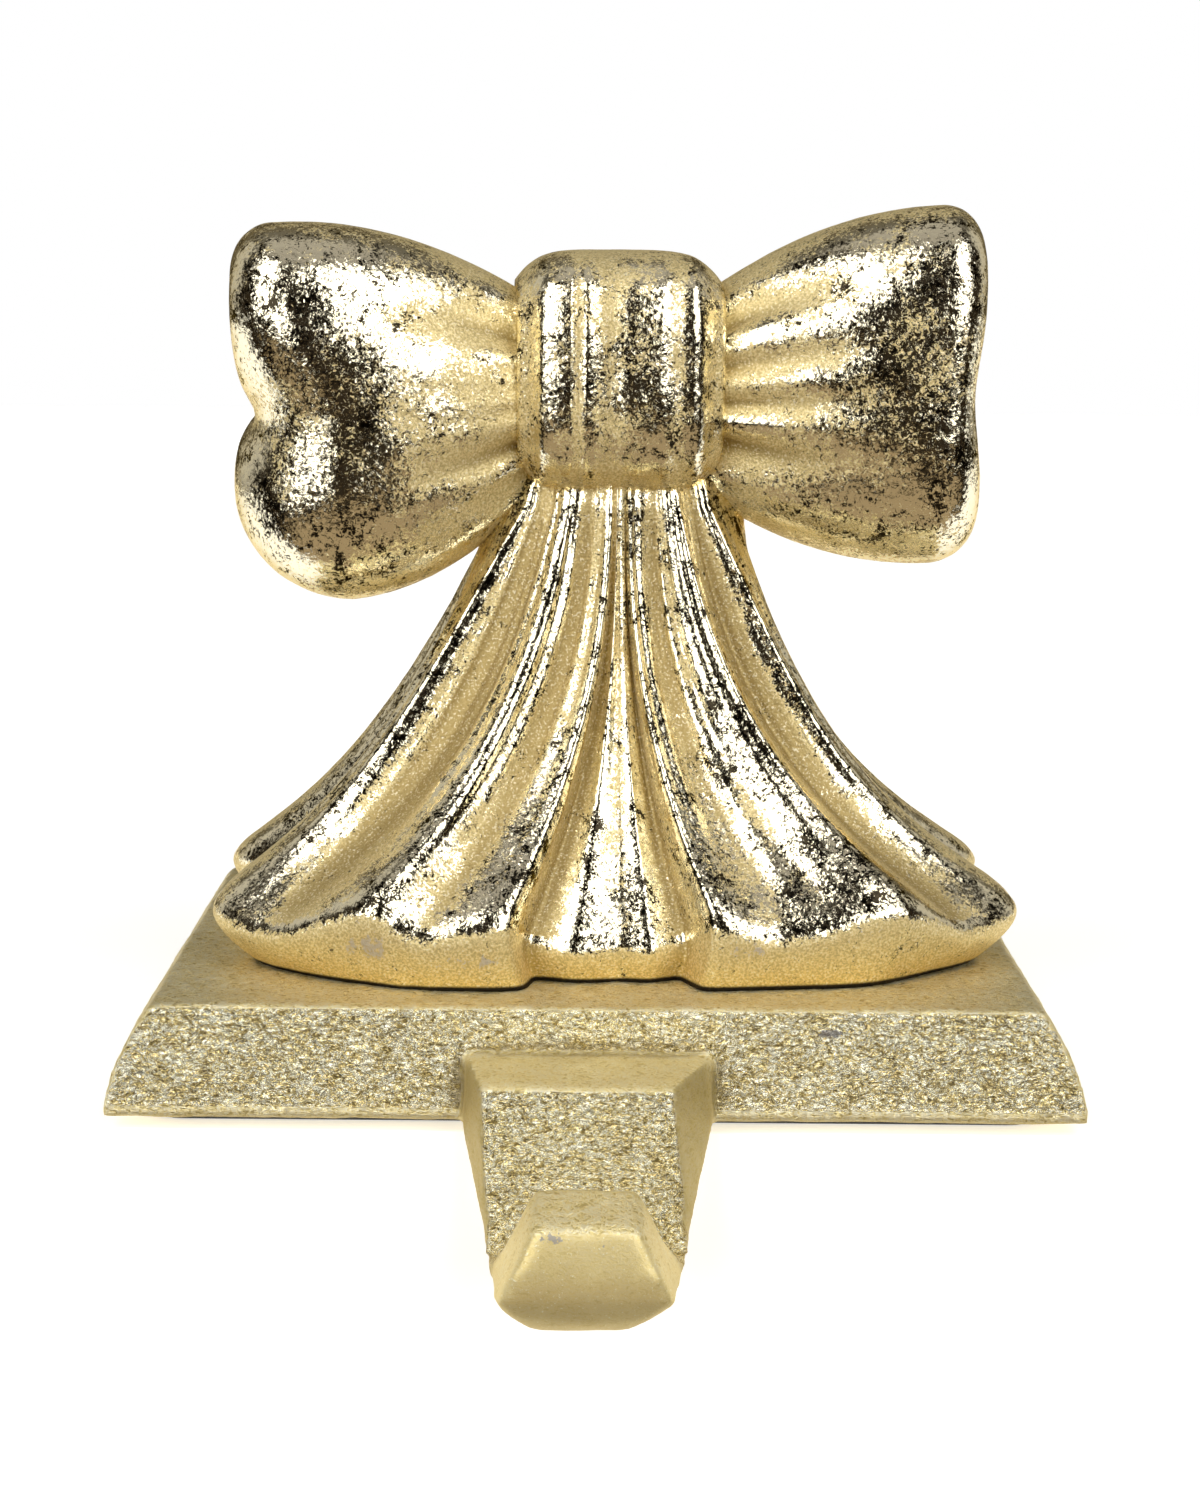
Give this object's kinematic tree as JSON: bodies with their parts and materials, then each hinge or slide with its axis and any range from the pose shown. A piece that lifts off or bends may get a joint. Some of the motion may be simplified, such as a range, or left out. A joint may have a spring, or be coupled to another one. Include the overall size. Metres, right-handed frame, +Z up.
{
  "type": "mantel stocking holder",
  "caption": "Cast mantel stocking holder: a pleated ribbon bow standing on a thick base plate, with an arm and upturned hook that drop in front of the shelf's edge.",
  "frame": {"origin": "middle of the felt's underside, on the mantel top", "axes": "+Z up, -Y to the front over the shelf's edge, +X to the viewer's right"},
  "size_m": [0.116, 0.1126, 0.124],
  "materials": {
    "cast_gold_paint": "gold paint over a rough sand casting",
    "gold_leaf": "pale gold leaf, bright and finely crinkled",
    "screw_steel": "zinc plated",
    "felt": "pressed felt"
  },
  "bodies": {
    "root": {"base_casting": "cast_gold_paint", "bow_figure": "gold_leaf", "fixing_screws": "screw_steel", "felt_pad": "felt"}
  },
  "joints": []
}
